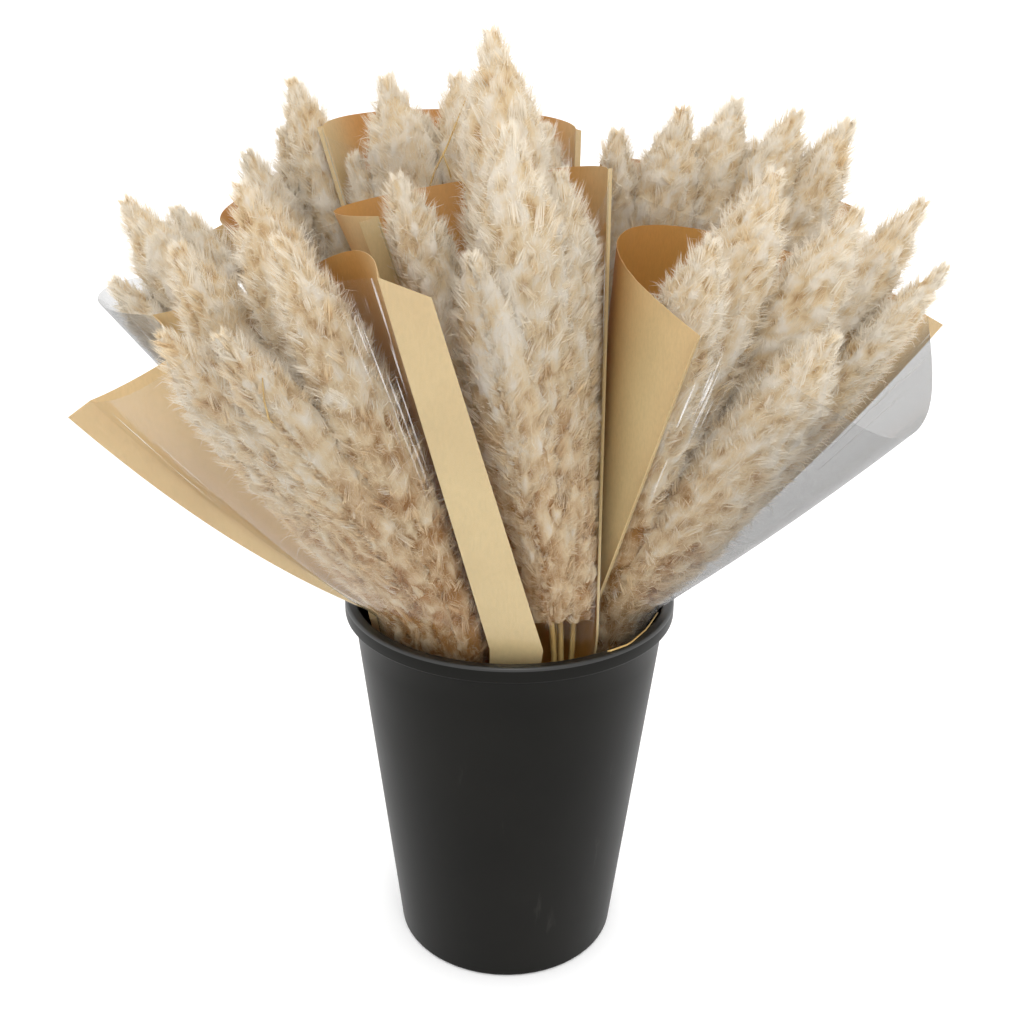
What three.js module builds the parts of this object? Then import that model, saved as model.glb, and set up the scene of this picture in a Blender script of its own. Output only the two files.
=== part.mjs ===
// A florist's bucket of wrapped bunches of pampas grass, in millimetres, +Z up.
// The origin is the middle of the bucket's base, on the surface that it stands on.
// Each bunch is a tie of stems with fluffy heads, in a sleeve with a paper back and a clear front.
import * as THREE from 'three';

// Bucket
const BUCKET_HEIGHT = 308;
const BASE_RADIUS = 90.7;
const WALL_TOP_RADIUS = 123;
const WALL_TOP = 295;
const LIP_RADIUS = 130;
const WALL = 2;
const FLOOR = 2.5;
const FOOT_ROUND = 3.2;
const BUCKET_SIDES = 40;

// Heights shared by the sleeves and the stems
const CLEARANCE = 0.3;
const FOOT_Z = FLOOR + CLEARANCE;
const RIM_Z = BUCKET_HEIGHT + 6;
const TIE_Z = 90;

// Sleeves
const PAPER_THICKNESS = 0.8;
const FILM_THICKNESS = 0.6;
const FILM_OFFSET = 1.3;
const FOOT_HALF_WIDTH = 19;
const FOOT_BULGE = 17;
const FOOT_FLANGE = 3;
const PAPER_GRID = { columns: 12, below: 3, above: 4 };
const FILM_GRID = { columns: 10, below: 2, above: 4 };
const REACH_OF_PULL = 0.75;

// Plumes
const STEM_RADIUS = 2.4;
const STEM_SIDES = 5;
const STEM_SPACING = 5.3;
const BEND_LENGTH = 50;
const FAN_ALONG = 0.55;
const FAN_ACROSS = 0.36;
const AXIS_SAMPLES = 60;

// Heads: sides and rings of the tufted surface, and how a tuft differs from the core between
const HEAD_SIDES = 2 * STEM_SIDES;
const HEAD_RINGS = 11;
const HEAD_COVER = 0.96;
const HEAD_SKEW = 0.8;
const HEAD_FULLNESS = 0.42;
const CORE_SHARE = 0.64;
const CORE_SPREAD = 0.08;
const CORE_LIFT = 0.15;
const TUFT_LIFT = 0.85;
const TUFT_DROP = 0.25;
const TURN_SPREAD = 0.35;

// Ties
const TIE_THICKNESS = 1.6;
const TIE_HEIGHT = 9;
const TIE_BOTTOM = 64;
const TIE_SIDES = 12;

// Clear space kept round a plume's head, and how a vertex is drawn in until it is clear
const PLUME_GAP = 1.4;
const SHEET_GAP = 2;
const RIM_GAP = 7;
const RIM_REACH = 55;
const EDGE_REACH = 30;
const SHRINK = 0.88;
const SHRINK_TRIES = 24;

// Each bunch: its foot on the bucket's floor, its seam, crease, crease and seam at the rim from left
// to right, how far its paper and its film bulge there, the sag of its free side, and the top edge as
// seam, crease, crease, seam, with the pull of the paper's and the film's edge curve at the creases.
// Its plumes are the tip, the length of the head and the head's radius.
const BUNCHES = [
  {
    name: 'front_left',
    foot: [-26, -48],
    rim: [[-107, -52], [-99, -56], [-14, -112], [24, -114]],
    bulge: { paper: 30, film: 15 },
    sag: { left: 14, right: 0 },
    top: [[-303, -85, 474], [-289, -78, 484], [-80, -172, 590], [-49, -165, 577]],
    paper: [[70, 70, 18], [-10, 95, 40]],
    film: [[60, -60, 10], [-70, -50, 10]],
    plumes: [
      { tip: [-223, -130, 547], length: 340, radius: 31 },
      { tip: [-223, -80, 594], length: 350, radius: 33 },
      { tip: [-173, -100, 637], length: 370, radius: 33 },
      { tip: [-143, -150, 612], length: 350, radius: 29 },
      { tip: [-179, -165, 556], length: 320, radius: 29 },
    ],
  },
  {
    name: 'front_middle',
    foot: [26, -50],
    rim: [[-2, -80], [7, -82], [63, -92], [66, -89]],
    bulge: { paper: 36, film: 24 },
    sag: { left: 0, right: 0 },
    top: [[-101, -75, 606], [-88, -80, 611], [60, -67, 641], [66, -60, 641]],
    paper: [[-130, 75, -15], [5, 100, 0]],
    film: [[10, -85, -40], [0, -95, -50]],
    plumes: [
      { tip: [-77, -80, 639], length: 340, radius: 30 },
      { tip: [-17, -50, 728], length: 400, radius: 35 },
      { tip: [-7, -110, 674], length: 370, radius: 34 },
      { tip: [28, -80, 644], length: 350, radius: 31 },
      { tip: [-27, -140, 601], length: 310, radius: 29 },
    ],
  },
  {
    name: 'front_right',
    foot: [48, -14],
    rim: [[60, -62], [63, -59], [109, -24], [116, -18]],
    bulge: { paper: 54, film: 28 },
    sag: { left: 0, right: 12 },
    top: [[112, -150, 549], [115, -147, 551], [302, 2, 532], [318, 10, 523]],
    paper: [[-157, 190, 91], [-52, 38, 40]],
    film: [[50, -70, 0], [0, -130, -135]],
    plumes: [
      { tip: [125, -110, 607], length: 330, radius: 31 },
      { tip: [170, -70, 645], length: 370, radius: 34 },
      { tip: [232, -50, 618], length: 370, radius: 34 },
      { tip: [291, 0, 617], length: 370, radius: 30 },
      { tip: [303, -30, 577], length: 340, radius: 27 },
      { tip: [210, -110, 547], length: 320, radius: 31 },
    ],
  },
  {
    name: 'side_left',
    foot: [-54, 4],
    rim: [[-104, 42], [-104, 33], [-103, -13], [-103, -22]],
    bulge: { paper: 34, film: 16 },
    sag: { left: 0, right: 0 },
    top: [[-265, 108, 530], [-271, 96, 535], [-254, -31, 533], [-246, -40, 530]],
    paper: [[74, 0, 10], [60, 10, 10]],
    film: [[-62, 0, 0], [-62, 0, 0]],
    plumes: [
      { tip: [-284, 25, 607], length: 330, radius: 31 },
      { tip: [-292, 2, 553], length: 300, radius: 24 },
      { tip: [-254, 48, 598], length: 320, radius: 31 },
    ],
  },
  {
    name: 'back_left',
    foot: [-34, 44],
    rim: [[-94, 62], [-86, 67], [-38, 97], [-30, 102]],
    bulge: { paper: 16, film: 28 },
    sag: { left: 0, right: 0 },
    top: [[-228, 52, 578], [-220, 59, 582], [-152, 112, 606], [-144, 119, 602]],
    paper: [[-25, 45, 5], [-35, 40, 5]],
    film: [[25, -45, -15], [88, -60, -15]],
    plumes: [
      { tip: [-168, 85, 688], length: 340, radius: 28 },
      { tip: [-201, 62, 638], length: 320, radius: 29 },
      { tip: [-178, 86, 652], length: 310, radius: 27 },
    ],
  },
  {
    name: 'back_middle',
    foot: [6, 10],
    rim: [[-46, 24], [-42, 24], [42, 26], [46, 26]],
    bulge: { paper: 36, film: 34 },
    sag: { left: 0, right: 0 },
    top: [[-146, 62, 653], [-142, 62, 654], [45, 63, 654], [49, 63, 653]],
    paper: [[0, 70, 12], [0, 70, 12]],
    film: [[-5, -50, -20], [0, -40, -20]],
    plumes: [
      { tip: [-95, 60, 693], length: 350, radius: 33 },
      { tip: [-44, 64, 694], length: 350, radius: 31 },
      { tip: [-69, 66, 664], length: 330, radius: 29 },
      { tip: [23, 66, 660], length: 330, radius: 29 },
      { tip: [-121, 58, 637], length: 320, radius: 27 },
    ],
  },
  {
    name: 'back_right',
    foot: [40, 42],
    rim: [[42, 92], [49, 86], [99, 48], [106, 42]],
    bulge: { paper: 16, film: 30 },
    sag: { left: 0, right: 0 },
    top: [[66, 95, 628], [70, 93, 630], [260, 78, 598], [266, 78, 595]],
    paper: [[5, 70, 0], [5, 65, 0]],
    film: [[-25, -80, -25], [15, -75, -40]],
    plumes: [
      { tip: [78, 80, 655], length: 330, radius: 30 },
      { tip: [126, 77, 672], length: 340, radius: 31 },
      { tip: [169, 95, 678], length: 340, radius: 31 },
      { tip: [212, 78, 671], length: 340, radius: 31 },
      { tip: [251, 74, 665], length: 330, radius: 27 },
    ],
  },
];

const MATERIALS = {
  bucket: { color: 0x24241f, roughness: 0.42, metalness: 0 },
  paper: { color: 0xcfa468, roughness: 0.75, metalness: 0 },
  film: { color: 0xdfe2e2, roughness: 0.12, metalness: 0, transparent: true, opacity: 0.3 },
  plume: { color: 0xd8bf9c, roughness: 0.95, metalness: 0 },
  tie: { color: 0xb98b52, roughness: 0.7, metalness: 0 },
};

const TAU = 2 * Math.PI;
const vec2 = ([x, y]) => new THREE.Vector2(x, y);
const vec3 = ([x, y, z]) => new THREE.Vector3(x, y, z);
const at = (flat, z) => new THREE.Vector3(flat.x, flat.y, z);
const lerp = (a, b, t) => a + (b - a) * t;

function seeded(seed) {
  let state = seed >>> 0;
  return () => {
    state = (Math.imul(state, 1664525) + 1013904223) >>> 0;
    return state / 4294967296;
  };
}

function solid(positions, triangles) {
  const geometry = new THREE.BufferGeometry();
  const flat = positions.flatMap((p) => [p.x, p.y, p.z]);
  geometry.setAttribute('position', new THREE.Float32BufferAttribute(flat, 3));
  geometry.setIndex(triangles);
  return geometry;
}

// Bucket: one lathed shell with a rounded foot and a rolled lip
function bucketGeometry() {
  const inner = WALL_TOP_RADIUS - WALL;
  const profile = [
    [0, 0],
    [BASE_RADIUS - FOOT_ROUND, 0],
    [BASE_RADIUS - FOOT_ROUND * 0.2, FOOT_ROUND * 0.3],
    [BASE_RADIUS + 0.3, FOOT_ROUND],
    [WALL_TOP_RADIUS, WALL_TOP],
    [LIP_RADIUS - 1.2, WALL_TOP + 1],
    [LIP_RADIUS, WALL_TOP + 4],
    [LIP_RADIUS, BUCKET_HEIGHT - 3],
    [LIP_RADIUS - 2.2, BUCKET_HEIGHT],
    [inner + 2, BUCKET_HEIGHT],
    [inner, BUCKET_HEIGHT - 2.5],
    [inner, WALL_TOP],
    [BASE_RADIUS - WALL + 0.3, FLOOR + 0.6],
    [BASE_RADIUS - WALL - 1.5, FLOOR],
    [0, FLOOR],
  ].map(([r, z]) => new THREE.Vector2(r, z));
  return new THREE.LatheGeometry(profile, BUCKET_SIDES).rotateX(Math.PI / 2);
}

// The unit vector square to a chord, towards the paper's side
function behind(chord) {
  return new THREE.Vector2(-chord.y, chord.x).normalize();
}

// One edge of a sheet: seam, crease, a curve across the pocket, crease, seam
function edgeCurve([seamL, creaseL, creaseR, seamR], [pullL, pullR], columns) {
  const pocket = new THREE.CubicBezierCurve3(
    creaseL,
    creaseL.clone().add(pullL),
    creaseR.clone().add(pullR),
    creaseR,
  );
  return [seamL, ...pocket.getPoints(columns - 3), seamR];
}

function levelEdge(corners, depth, z, columns) {
  const pull = at(behind(corners[2].clone().sub(corners[1])).multiplyScalar(depth), 0);
  return edgeCurve(corners.map((p) => at(p, z)), [pull, pull], columns);
}

// The corners on the bucket's floor: seam, crease, crease, seam
function footCorners(bunch) {
  const [rimL, , , rimR] = bunch.rim.map(vec2);
  const along = rimR.clone().sub(rimL).normalize();
  const inner = FOOT_HALF_WIDTH - FOOT_FLANGE;
  return [-FOOT_HALF_WIDTH, -inner, inner, FOOT_HALF_WIDTH]
    .map((reach) => vec2(bunch.foot).addScaledVector(along, reach));
}

// Moves the film's edge clear of the paper's, square to the flange at each end
function layInFront(edge) {
  const last = edge.length - 1;
  const flat = edge.map((p) => new THREE.Vector2(p.x, p.y));
  const left = behind(flat[1].clone().sub(flat[0]));
  const right = behind(flat[last].clone().sub(flat[last - 1]));
  edge.forEach((p, c) => {
    const shift = left.clone().lerp(right, THREE.MathUtils.smoothstep(c, 1, last - 1)).normalize();
    p.addScaledVector(at(shift, 0), -FILM_OFFSET);
  });
}

// The sheet's middle surface, as rows of points from the bucket's floor up to the top edge
function sheetRows(bunch, side, { columns, below, above }) {
  const sign = side === 'paper' ? 1 : -1;
  const edges = [
    levelEdge(footCorners(bunch), sign * FOOT_BULGE, FOOT_Z, columns),
    levelEdge(bunch.rim.map(vec2), sign * bunch.bulge[side], RIM_Z, columns),
    edgeCurve(bunch.top.map(vec3), bunch[side].map(vec3), columns),
  ];
  if (side === 'film') edges.forEach(layInFront);
  const [footEdge, rimEdge, topEdge] = edges;
  const rows = [];
  for (let k = 0; k < below; k += 1) {
    rows.push(footEdge.map((p, c) => p.clone().lerp(rimEdge[c], k / below)));
  }
  for (let k = 0; k <= above; k += 1) {
    const v = k / above;
    rows.push(rimEdge.map((p, c) => {
      const u = c / (columns - 1);
      const free = bunch.sag.left * (1 - u) ** 2 + bunch.sag.right * u ** 2;
      const point = p.clone().lerp(topEdge[c], v);
      point.z -= free * 4 * v * (1 - v);
      return point;
    }));
  }
  return rows;
}

function gridNormal(rows, r, c) {
  const last = rows.length - 1;
  const end = rows[0].length - 1;
  const across = rows[r][Math.min(c + 1, end)].clone().sub(rows[r][Math.max(c - 1, 0)]);
  const up = rows[Math.min(r + 1, last)][c].clone().sub(rows[Math.max(r - 1, 0)][c]);
  return across.cross(up).normalize();
}

// A closed sheet of even thickness round the middle surface, split alike on both faces
function sheetGeometry(rows, thickness) {
  const columns = rows[0].length;
  const count = rows.length * columns;
  const faces = [1, -1].map((sign) => rows.flatMap((row, r) => row.map((p, c) => (
    p.clone().addScaledVector(gridNormal(rows, r, c), sign * thickness / 2)))));
  const id = (r, c) => r * columns + c;
  const triangles = [];
  const quad = (a, b, c, d) => triangles.push(a, b, c, a, c, d);
  for (let r = 0; r < rows.length - 1; r += 1) {
    for (let c = 0; c < columns - 1; c += 1) {
      const corners = [id(r, c), id(r, c + 1), id(r + 1, c + 1), id(r + 1, c)];
      const [p, q, s, t] = corners;
      quad(p, q, s, t);
      triangles.push(p + count, s + count, q + count, p + count, t + count, s + count);
    }
  }
  const border = [];
  for (let c = 0; c < columns - 1; c += 1) border.push(id(0, c));
  for (let r = 0; r < rows.length - 1; r += 1) border.push(id(r, columns - 1));
  for (let c = columns - 1; c > 0; c -= 1) border.push(id(rows.length - 1, c));
  for (let r = rows.length - 1; r > 0; r -= 1) border.push(id(r, 0));
  border.forEach((a, i) => {
    const b = border[(i + 1) % border.length];
    quad(a, a + count, b + count, b);
  });
  return solid(faces.flat(), triangles);
}

// Where the middle of a bunch passes the rim, between its paper and its film
function rimMiddle(bunch) {
  const [, rimL, rimR] = bunch.rim.map(vec2);
  const middle = rimL.clone().add(rimR).multiplyScalar(0.5);
  const depth = REACH_OF_PULL * (bunch.bulge.paper - bunch.bulge.film) / 2;
  return middle.addScaledVector(behind(rimR.clone().sub(rimL)), depth);
}

function leanOf(bunch) {
  return rimMiddle(bunch).sub(vec2(bunch.foot)).divideScalar(RIM_Z - FOOT_Z);
}

function clusterRadius(bunch) {
  return STEM_SPACING / (2 * Math.sin(Math.PI / bunch.plumes.length));
}

// The stems' places: a ring at the tie, and fanned out along and across the bunch at the rim
function plumePaths(bunch) {
  const [, rimL, rimR] = bunch.rim.map(vec2);
  const along = rimR.clone().sub(rimL).normalize();
  const across = behind(along);
  const tips = bunch.plumes.map((plume) => vec2(plume.tip));
  const mean = tips.reduce((sum, p) => sum.add(p), new THREE.Vector2()).divideScalar(tips.length);
  const offsets = tips.map((p) => p.clone().sub(mean));
  const farAlong = Math.max(...offsets.map((p) => Math.abs(p.dot(along))));
  const farAcross = Math.max(...offsets.map((p) => Math.abs(p.dot(across))));
  const spread = offsets.map((p) => new THREE.Vector2(p.dot(along) / farAlong, p.dot(across) / farAcross));
  const order = spread.map((p, i) => [p.angle(), i]).sort((a, b) => a[0] - b[0]).map(([, i]) => i);
  const step = TAU / tips.length;
  const turns = order.map((i, rank) => spread[i].angle() - rank * step);
  const turn = Math.atan2(
    turns.reduce((sum, t) => sum + Math.sin(t), 0),
    turns.reduce((sum, t) => sum + Math.cos(t), 0),
  );
  const halfAlong = (rimR.distanceTo(rimL) / 2) * FAN_ALONG;
  const halfAcross = REACH_OF_PULL * (bunch.bulge.paper + bunch.bulge.film) / 2 * FAN_ACROSS;
  const lean = leanOf(bunch);
  const radius = clusterRadius(bunch);
  return tips.map((tip, i) => {
    const angle = turn + order.indexOf(i) * step;
    const place = vec2(bunch.foot)
      .addScaledVector(along, radius * Math.cos(angle))
      .addScaledVector(across, radius * Math.sin(angle));
    const tied = place.clone().addScaledVector(lean, TIE_Z - FOOT_Z);
    const rim = rimMiddle(bunch)
      .addScaledVector(along, halfAlong * spread[i].x)
      .addScaledVector(across, halfAcross * spread[i].y);
    return bentPath(at(place, FOOT_Z), at(tied, TIE_Z), at(rim, RIM_Z - 4), vec3(bunch.plumes[i].tip));
  });
}

// Straight up to the rim, a rounded bend there, and straight on to the tip
function bentPath(foot, tied, bend, tip) {
  const before = bend.clone().add(tied.clone().sub(bend).setLength(BEND_LENGTH));
  const after = bend.clone().add(tip.clone().sub(bend).setLength(BEND_LENGTH));
  const path = new THREE.CurvePath();
  path.add(new THREE.LineCurve3(foot, tied));
  path.add(new THREE.LineCurve3(tied, before));
  path.add(new THREE.QuadraticBezierCurve3(before, bend, after));
  path.add(new THREE.LineCurve3(after, tip));
  return path;
}

function makePlume(bunch, index, path) {
  const { tip, length, radius } = bunch.plumes[index];
  const total = path.getLength();
  const samples = Array.from({ length: AXIS_SAMPLES + 1 }, (_, k) => {
    const u = k / AXIS_SAMPLES;
    return { point: path.getPointAt(u), share: (u * total - (total - length)) / length };
  });
  return { bunch, index, path, tip: vec3(tip), length, radius, total, samples };
}

// Half the width of a head: quickly full above its base, then tapering to a soft tip
function headRadius(plume, share) {
  if (share <= 0) return STEM_RADIUS;
  const bell = Math.sin(Math.PI * Math.min(share, 1) ** HEAD_SKEW) ** HEAD_FULLNESS;
  return Math.max(STEM_RADIUS, plume.radius * bell);
}

function nearestOnAxis(plume, point) {
  const { samples } = plume;
  let best = { distance: Infinity };
  for (let k = 0; k < samples.length - 1; k += 1) {
    const line = new THREE.Line3(samples[k].point, samples[k + 1].point);
    const t = line.closestPointToPointParameter(point, true);
    const found = line.at(t, new THREE.Vector3());
    const distance = found.distanceTo(point);
    if (distance < best.distance) {
      best = { distance, point: found, share: lerp(samples[k].share, samples[k + 1].share, t) };
    }
  }
  return best;
}

// What limits a head at one place on its axis: a plane between it and each neighbour
function neighbourPlanes(plume, plumes, point, share) {
  const own = headRadius(plume, share);
  const planes = [];
  for (const other of plumes) {
    if (other === plume) continue;
    const place = nearestOnAxis(other, point);
    const nearest = place.point.distanceTo(point);
    const size = headRadius(other, place.share);
    if (nearest > own + size + 4 * PLUME_GAP) continue;
    const normal = place.point.clone().sub(point).divideScalar(nearest);
    const split = (nearest * own) / (own + size);
    planes.push({ normal, limit: Math.min(split, nearest - STEM_RADIUS) - PLUME_GAP });
  }
  return planes;
}

// A sheet's line at one height, carried on a little above its top edge
function sheetLine(rows, z) {
  return rows[0].map((_, c) => {
    const column = rows.map((row) => row[c]);
    const last = column[column.length - 1];
    if (z > last.z + EDGE_REACH) return null;
    let k = column.findIndex((p) => p.z > z);
    if (k < 1) k = k === 0 ? 1 : column.length - 1;
    const [a, b] = [column[k - 1], column[k]];
    return vec2(a.clone().lerp(b, (z - a.z) / (b.z - a.z)).toArray());
  });
}

function crossed(a, b, p, q) {
  const side = (o, s, t) => (s.x - o.x) * (t.y - o.y) - (s.y - o.y) * (t.x - o.x);
  return side(a, b, p) * side(a, b, q) < 0 && side(p, q, a) * side(p, q, b) < 0;
}

function nearSegment(p, a, b, gap) {
  const along = b.clone().sub(a);
  const t = THREE.MathUtils.clamp(p.clone().sub(a).dot(along) / along.lengthSq(), 0, 1);
  return p.distanceTo(a.clone().addScaledVector(along, t)) < gap;
}

function clearOfSheets(centre, point, sheets) {
  const from = new THREE.Vector2(centre.x, centre.y);
  const to = new THREE.Vector2(point.x, point.y);
  const gap = SHEET_GAP + RIM_GAP * Math.max(0, 1 - Math.abs(point.z - RIM_Z) / RIM_REACH);
  for (const rows of sheets) {
    const line = sheetLine(rows, point.z);
    for (let c = 0; c < line.length - 1; c += 1) {
      const [p, q] = [line[c], line[c + 1]];
      if (!p || !q) continue;
      if (crossed(from, to, p, q) || nearSegment(to, p, q, gap)) return false;
    }
  }
  return true;
}

// How far out a vertex of a head may stand
function fittedPoint(plume, share, angle, reach, plumes, sheets) {
  const u = 1 - ((1 - share) * plume.length) / plume.total;
  const centre = plume.path.getPointAt(u);
  const tangent = plume.path.getTangentAt(u);
  const side = new THREE.Vector3(0, 1, 0).cross(tangent).normalize();
  const front = tangent.clone().cross(side);
  const outward = side.multiplyScalar(Math.cos(angle)).addScaledVector(front, Math.sin(angle));
  const planes = neighbourPlanes(plume, plumes, centre, share);
  let radius = reach * headRadius(plume, share);
  for (let tries = 0; tries < SHRINK_TRIES; tries += 1) {
    const point = centre.clone().addScaledVector(outward, radius);
    const step = point.clone().sub(centre);
    const beside = planes.every(({ normal, limit }) => step.dot(normal) <= limit);
    if (beside && clearOfSheets(centre, point, sheets)) return point;
    radius *= SHRINK;
  }
  return centre.clone().addScaledVector(outward, radius);
}

// One plume: a slim stem, and a head whose surface rises in tufts that point up and outward
function plumeGeometry(plume, plumes, sheets, seed) {
  const random = seeded(seed);
  const positions = [];
  const triangles = [];
  const headStart = plume.total - plume.length;
  const [lower, straight, bend] = plume.path.getCurveLengths();
  const stemStations = [0, lower, straight, lerp(straight, bend, 0.33), lerp(straight, bend, 0.67), bend]
    .filter((s) => s < headStart - 12);
  for (const s of stemStations) {
    const u = s / plume.total;
    const centre = plume.path.getPointAt(u);
    const tangent = plume.path.getTangentAt(u);
    const side = new THREE.Vector3(0, 1, 0).cross(tangent).normalize();
    const front = tangent.clone().cross(side);
    for (let k = 0; k < STEM_SIDES; k += 1) {
      const angle = (TAU * k) / STEM_SIDES;
      const point = centre.clone()
        .addScaledVector(side, STEM_RADIUS * Math.cos(angle))
        .addScaledVector(front, STEM_RADIUS * Math.sin(angle));
      point.z = s === 0 ? FOOT_Z : point.z;
      positions.push(point);
    }
  }
  const rings = stemStations.length;
  for (let k = 1; k < STEM_SIDES - 1; k += 1) triangles.push(0, k + 1, k);
  for (let r = 0; r < rings - 1; r += 1) {
    for (let k = 0; k < STEM_SIDES; k += 1) {
      const next = (k + 1) % STEM_SIDES;
      const [a, b] = [r * STEM_SIDES + k, r * STEM_SIDES + next];
      const [c, d] = [b + STEM_SIDES, a + STEM_SIDES];
      triangles.push(a, b, c, a, c, d);
    }
  }

  const firstHead = positions.length;
  const spacing = HEAD_COVER / HEAD_RINGS;
  for (let r = 0; r < HEAD_RINGS; r += 1) {
    for (let k = 0; k < HEAD_SIDES; k += 1) {
      const tuft = (r + k) % 2 === 1 && r > 0;
      const turn = (random() - 0.5) * TURN_SPREAD;
      const angle = (TAU * (k + turn)) / HEAD_SIDES;
      const height = tuft ? TUFT_LIFT - TUFT_DROP * random() : CORE_LIFT * random();
      const share = Math.min(0.02 + (r + height) * spacing, 0.985);
      const reach = tuft ? 1 : CORE_SHARE + CORE_SPREAD * random();
      positions.push(fittedPoint(plume, share, angle, reach, plumes, sheets));
    }
  }
  positions.push(plume.tip);

  const stemRing = (rings - 1) * STEM_SIDES;
  for (let k = 0; k < STEM_SIDES; k += 1) {
    const next = (k + 1) % STEM_SIDES;
    const [a, b] = [stemRing + k, stemRing + next];
    const [p, q] = [firstHead + 2 * k, firstHead + 2 * k + 1];
    const s = firstHead + ((2 * k + 2) % HEAD_SIDES);
    triangles.push(a, q, p, a, b, q, b, s, q);
  }
  for (let r = 0; r < HEAD_RINGS - 1; r += 1) {
    for (let k = 0; k < HEAD_SIDES; k += 1) {
      const next = (k + 1) % HEAD_SIDES;
      const [a, b] = [firstHead + r * HEAD_SIDES + k, firstHead + r * HEAD_SIDES + next];
      const [c, d] = [b + HEAD_SIDES, a + HEAD_SIDES];
      if ((r + k) % 2 === 0) triangles.push(a, b, d, b, c, d);
      else triangles.push(a, b, c, a, c, d);
    }
  }
  const lastRing = firstHead + (HEAD_RINGS - 1) * HEAD_SIDES;
  const tip = positions.length - 1;
  for (let k = 0; k < HEAD_SIDES; k += 1) {
    triangles.push(lastRing + k, lastRing + ((k + 1) % HEAD_SIDES), tip);
  }
  return solid(positions, triangles);
}

// The band round a bunch's stems, leaning as they do
function tieGeometry(bunch) {
  const inner = clusterRadius(bunch) + STEM_RADIUS + 2 * CLEARANCE;
  const outer = inner + TIE_THICKNESS;
  const lean = leanOf(bunch);
  const profile = [[inner, 0], [outer, 0], [outer, TIE_HEIGHT], [inner, TIE_HEIGHT], [inner, 0]];
  const geometry = new THREE.LatheGeometry(profile.map(vec2), TIE_SIDES).rotateX(Math.PI / 2);
  const tilt = new THREE.Matrix4().makeShear(0, 0, 0, 0, lean.x, lean.y);
  const foot = vec2(bunch.foot).addScaledVector(lean, TIE_BOTTOM - FOOT_Z);
  return geometry.applyMatrix4(tilt).translate(foot.x, foot.y, TIE_BOTTOM);
}

function build() {
  const group = new THREE.Group();
  const add = (name, geometry, kind) => {
    const mesh = new THREE.Mesh(geometry, new THREE.MeshStandardMaterial(MATERIALS[kind]));
    mesh.name = name;
    group.add(mesh);
  };
  const sheets = [];
  const plumes = [];
  add('bucket', bucketGeometry(), 'bucket');
  for (const bunch of BUNCHES) {
    const paper = sheetRows(bunch, 'paper', PAPER_GRID);
    const film = sheetRows(bunch, 'film', FILM_GRID);
    sheets.push(paper, film);
    add(`paper_${bunch.name}`, sheetGeometry(paper, PAPER_THICKNESS), 'paper');
    add(`film_${bunch.name}`, sheetGeometry(film, FILM_THICKNESS), 'film');
    add(`tie_${bunch.name}`, tieGeometry(bunch), 'tie');
    plumePaths(bunch).forEach((path, i) => plumes.push(makePlume(bunch, i, path)));
  }
  plumes.forEach((plume, i) => {
    const geometry = plumeGeometry(plume, plumes, sheets, 101 + 7 * i);
    add(`plume_${plume.bunch.name}_${plume.index + 1}`, geometry, 'plume');
  });
  return group;
}

export default build();
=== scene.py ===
import math

import bpy
import numpy as np
from mathutils import Matrix, Vector, noise
from mathutils.bvhtree import BVHTree


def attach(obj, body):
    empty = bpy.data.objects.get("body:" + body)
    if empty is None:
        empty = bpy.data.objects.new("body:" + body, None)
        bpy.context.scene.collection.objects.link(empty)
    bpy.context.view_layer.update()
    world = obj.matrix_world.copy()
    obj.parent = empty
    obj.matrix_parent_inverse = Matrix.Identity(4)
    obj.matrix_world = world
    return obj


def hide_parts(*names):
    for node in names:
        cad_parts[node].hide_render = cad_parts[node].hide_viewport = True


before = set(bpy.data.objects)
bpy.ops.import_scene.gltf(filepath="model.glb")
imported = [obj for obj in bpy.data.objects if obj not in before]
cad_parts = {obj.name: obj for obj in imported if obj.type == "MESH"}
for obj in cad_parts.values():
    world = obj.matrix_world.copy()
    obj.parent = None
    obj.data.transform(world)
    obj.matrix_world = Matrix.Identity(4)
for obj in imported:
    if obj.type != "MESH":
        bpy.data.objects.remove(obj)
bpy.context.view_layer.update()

MM = 0.001
TAU = 2 * math.pi

# Bucket
BUCKET_HEIGHT = 308
BASE_RADIUS = 90.7
WALL_TOP_RADIUS = 123
WALL_TOP = 295
LIP_RADIUS = 130
WALL = 2
FLOOR = 2.5
FOOT_ROUND = 3.2
BUCKET_SIDES = 144
LIP_SHINE = 5

# Heights shared by the sleeves and the stems
FOOT_Z = 2.8
RIM_Z = BUCKET_HEIGHT + 6
TIE_Z = 90

# Sleeves: their folds as in the CAD solids, and how finely they are made here
FILM_OFFSET = 1.3
FOOT_HALF_WIDTH = 19
FOOT_BULGE = 17
FOOT_FLANGE = 3
REACH_OF_PULL = 0.75
SHEETS = {
    "paper": {"flange": 1 / 11, "thickness": 0.3},
    "film": {"flange": 1 / 9, "thickness": 0.16},
}
FLANGE_COLUMNS = 3
POCKET_COLUMNS = 30
ROWS_BELOW = 4
ROWS_ABOVE = 32
# How many painted highlight streaks run across and along the film
PAINTED_STREAKS_ACROSS = 90
PAINTED_STREAKS_ALONG = 3

# Plumes: their stems as in the CAD solids
STEM_RADIUS = 2.4
STEM_SPACING = 5.3
BEND_LENGTH = 50
BEND_Z = RIM_Z - 4
FAN_ALONG = 0.55
FAN_ACROSS = 0.36
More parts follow.
